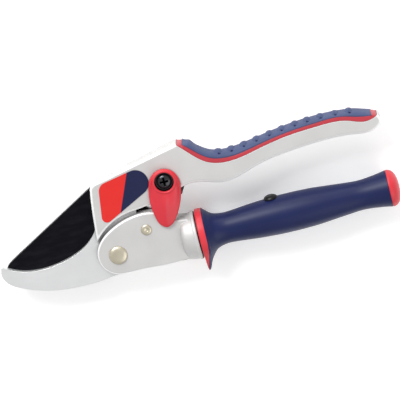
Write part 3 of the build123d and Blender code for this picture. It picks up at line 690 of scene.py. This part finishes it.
def pip_lift(x, z):
    """Height that the pips add to the pad, with a pit on each pip's front right."""
    lift = 0.0
    for centre in PIP_XS:
        if abs(x - centre) < 4:
            reach = ((x - centre) / PIP_HALF_LENGTH) ** 2 + ((z - PIP_MIDDLE) / PIP_HALF_WIDTH) ** 2
            if reach < 1:
                lift += PIP_RISE * (1 - reach) ** 0.7
            pit = ((x - centre - PIT_SLIDE) / PIT_LENGTH) ** 2 + ((z - PIT_Z) / PIT_WIDTH) ** 2
            lift -= PIT_DEPTH * math.exp(-pit)
    return lift


def crowned(x, low, high, half, sharpness, lift=lambda x, z: 0.0, count=44):
    """Ring across the handle: straight underside, crowned top."""
    ring = []
    for n in range(count + 1):
        angle = math.pi * n / count
        across, rise = math.cos(angle), math.sin(angle)
        z = half * math.copysign(abs(across) ** 0.85, across)
        ring.append(at(x, low + (high - low) * rise ** sharpness + lift(x, z), z))
    return ring


PAD_LEVELS = levels_of("upper_grip_pad", PAD_START, PAD_END)
PAD_FIRST, PAD_LAST = round(PAD_LEVELS[0][0], 2), round(PAD_LEVELS[-1][0], 2)


def pad_shape():
    """Crowned rings along the handle, with a narrow foot that sits inside the strip."""
    rings = []
    for x, low, high in PAD_LEVELS:
        fade = min(1.0, (x - PAD_FIRST + 0.1) / PIP_FADE, (PAD_LAST - x + 0.1) / PIP_FADE)
        top = high - min(CROWN_DROP, 0.3 * (high - low)) - value_at(START_CREST_DROP, x)
        low = min(low - value_at(START_SEAM_DROP, x), value_at(TIP_SEAM, x))
        top = max(low + 0.05, min(top, value_at(TIP_CREST, x)))
        ring = crowned(x, low, top, PAD_HALF, 0.8, lambda x, z: pip_lift(x, z) * fade)
        for side in (-1, 1):
            ring.append(at(x, low - SKIRT_DROP, side * (PAD_HALF - SKIRT_INSET)))
        rings.append(ring)
    return skin(rings)


def strip_shape():
    """Red strip: flat under the pad, crowned at its two bare ends."""
    rings = []
    for x, low, high in levels_of("upper_grip_base", STRIP_START, STRIP_END):
        bare = max(0.0, min(1.0, max(PAD_FIRST - x, x - PAD_LAST) / 1.2 + 0.4))
        if PAD_FIRST + 1 < x < PAD_LAST - 1:
            bare = 0.0
        top = high - BARE_DROP * bare * min(1.0, high - low)
        top = min(top, value_at(TIP_SEAM, x) + 0.1 if x < PAD_LAST else value_at(TIP_CREST, x))
        top -= START_DROP if x < PAD_FIRST else value_at(START_SEAM_DROP, x)
        inset = TIP_INSET * max(0.0, (x - TIP_ROUND) / (STRIP_END - TIP_ROUND)) ** 2
        rings.append(crowned(x, low + 0.06, top, STRIP_HALF - inset, 0.06 + 0.7 * bare))
    return skin(rings)


add_piece("strip_moulding", strip_shape(), STRIP, "upper_side", ["upper_grip_base"], sharp=50)
pad = add_piece("pad_moulding", pad_shape(), PAD, "upper_side", ["upper_grip_pad"], sharp=55)
# Pit faces on the pad's upper side get the darker navy: painted shade in the pits.
paint(pad, NAVY, lambda x, y, z, normal: normal.y > 0 and PIT_SHADE_R > min(
    math.hypot(x - centre - PIT_SLIDE, z - PIT_Z) for centre in PIP_XS))


# ---- Return spring: a squeezed coil between the two handles, which blends between their bodies ----
SPRING_TOP = Vector((39.6, 29.3))
SPRING_WAY = Vector((math.cos(math.radians(60)), math.sin(math.radians(60))))
SPRING_SPAN, WIRE_R, COIL_R, COIL_TURNS, COIL_LENGTH = 18.5, 0.55, 3.1, 6.5, 16.6
COIL_STEPS, WIRE_SIDES = 32, 12     # stations on each turn, and points round the wire


def spring_shape():
    """Round wire along a helix."""
    foot = SPRING_TOP - SPRING_WAY * (SPRING_SPAN - WIRE_R - 0.1)
    side = Vector((-SPRING_WAY.y, SPRING_WAY.x))
    count = int(COIL_TURNS * COIL_STEPS)
    rings = []
    for n in range(count + 1):
        turn = 2 * math.pi * COIL_TURNS * n / count
        along = foot + SPRING_WAY * (COIL_LENGTH * n / count)
        ring = []
        for k in range(WIRE_SIDES):
            bend = 2 * math.pi * k / WIRE_SIDES
            reach = COIL_R + WIRE_R * math.cos(bend)
            spot = along + side * (reach * math.cos(turn)) + SPRING_WAY * (WIRE_R * math.sin(bend))
            ring.append(at(spot.x, spot.y, reach * math.sin(turn)))
        rings.append(ring)
    return skin(rings)


spring = add_piece("spring_coil", spring_shape(), WIRE, None, ["return_spring"])
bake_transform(spring)


# ---- Studio: pale floor, soft light, camera ----
def white_world():
    """Even white surroundings."""
    world = bpy.data.worlds.new("studio")
    world.use_nodes = True
    background = world.node_tree.nodes["Background"]
    background.inputs["Color"].default_value = (1.0, 1.0, 1.0, 1)
    background.inputs["Strength"].default_value = 0.58
    bpy.context.scene.world = world


def pale_floor():
    """Pale paper under the tool, which glows a little so that it stays near white."""
    half = 3.0
    drop = cad_box[0][2]
    mesh = bpy.data.meshes.new("studio_floor")
    corners = [(-half, -half, drop), (half, -half, drop), (half, half, drop), (-half, half, drop)]
    mesh.from_pydata(corners, [], [(0, 1, 2, 3)])
    floor = bpy.data.objects.new("studio_floor", mesh)
    bpy.context.scene.collection.objects.link(floor)
    s = Shader("studio_paper")
    tone = s.mix(s.noise(200), (0.93, 0.93, 0.93, 1), (0.95, 0.95, 0.95, 1))
    s.body.inputs["Emission Color"].default_value = (1.0, 1.0, 1.0, 1)
    s.body.inputs["Emission Strength"].default_value = 0.22
    floor.data.materials.append(s.done(tone, s.remap(s.noise(40), 0.3, 0.7, 0.8, 0.9)))


def soft_box(name, place, target, size, power):
    """Rectangular lamp that faces a target."""
    lamp = bpy.data.lights.new(name, "AREA")
    lamp.shape = "RECTANGLE"
    lamp.size = size[0]
    lamp.size_y = size[1]
    lamp.energy = power
    holder = bpy.data.objects.new(name, lamp)
    holder.location = place
    holder.rotation_euler = (Vector(target) - Vector(place)).to_track_quat("-Z", "Y").to_euler()
    bpy.context.scene.collection.objects.link(holder)


LEAN = math.radians(14.0)       # the camera looks down from the upper handle's side
ROLL = math.radians(14.0)       # the grip's axis rises to the right
DISTANCE = 1.9
VIEW_WIDTH = 0.216
AIM = (43.96 * MM, 27.9 * MM)   # the view's centre, right of and above the pivot


def studio_camera():
    """Long lens above the front face, tilted by LEAN and rolled by ROLL."""
    right = Vector((math.cos(ROLL), -math.sin(ROLL), 0))
    plan_up = Vector((math.sin(ROLL), math.cos(ROLL), 0))
    up = plan_up * math.cos(LEAN) - Vector((0, 0, math.sin(LEAN)))
    back = plan_up * math.sin(LEAN) + Vector((0, 0, math.cos(LEAN)))
    target = Vector((0, 0, MID)) + right * AIM[0] + up * AIM[1]
    data = bpy.data.cameras.new("studio_camera")
    data.sensor_width = 36.0
    data.lens = data.sensor_width * DISTANCE / VIEW_WIDTH
    data.clip_end = 20.0
    camera = bpy.data.objects.new("studio_camera", data)
    turn = Matrix((right, up, back)).transposed().to_4x4()
    camera.matrix_world = Matrix.Translation(target + back * DISTANCE) @ turn
    bpy.context.scene.collection.objects.link(camera)
    bpy.context.scene.camera = camera


white_world()
pale_floor()
centre = (0.045, 0.02, 0.0)
soft_box("key_light", (-0.3, 0.95, 0.85), centre, (0.6, 0.5), 13.5)
soft_box("fill_light", (0.6, -0.5, 0.8), centre, (0.9, 0.9), 4.0)
soft_box("rim_light", (0.1, 1.2, 0.25), centre, (1.2, 0.3), 4.0)
studio_camera()
bpy.context.scene.view_settings.view_transform = "Standard"
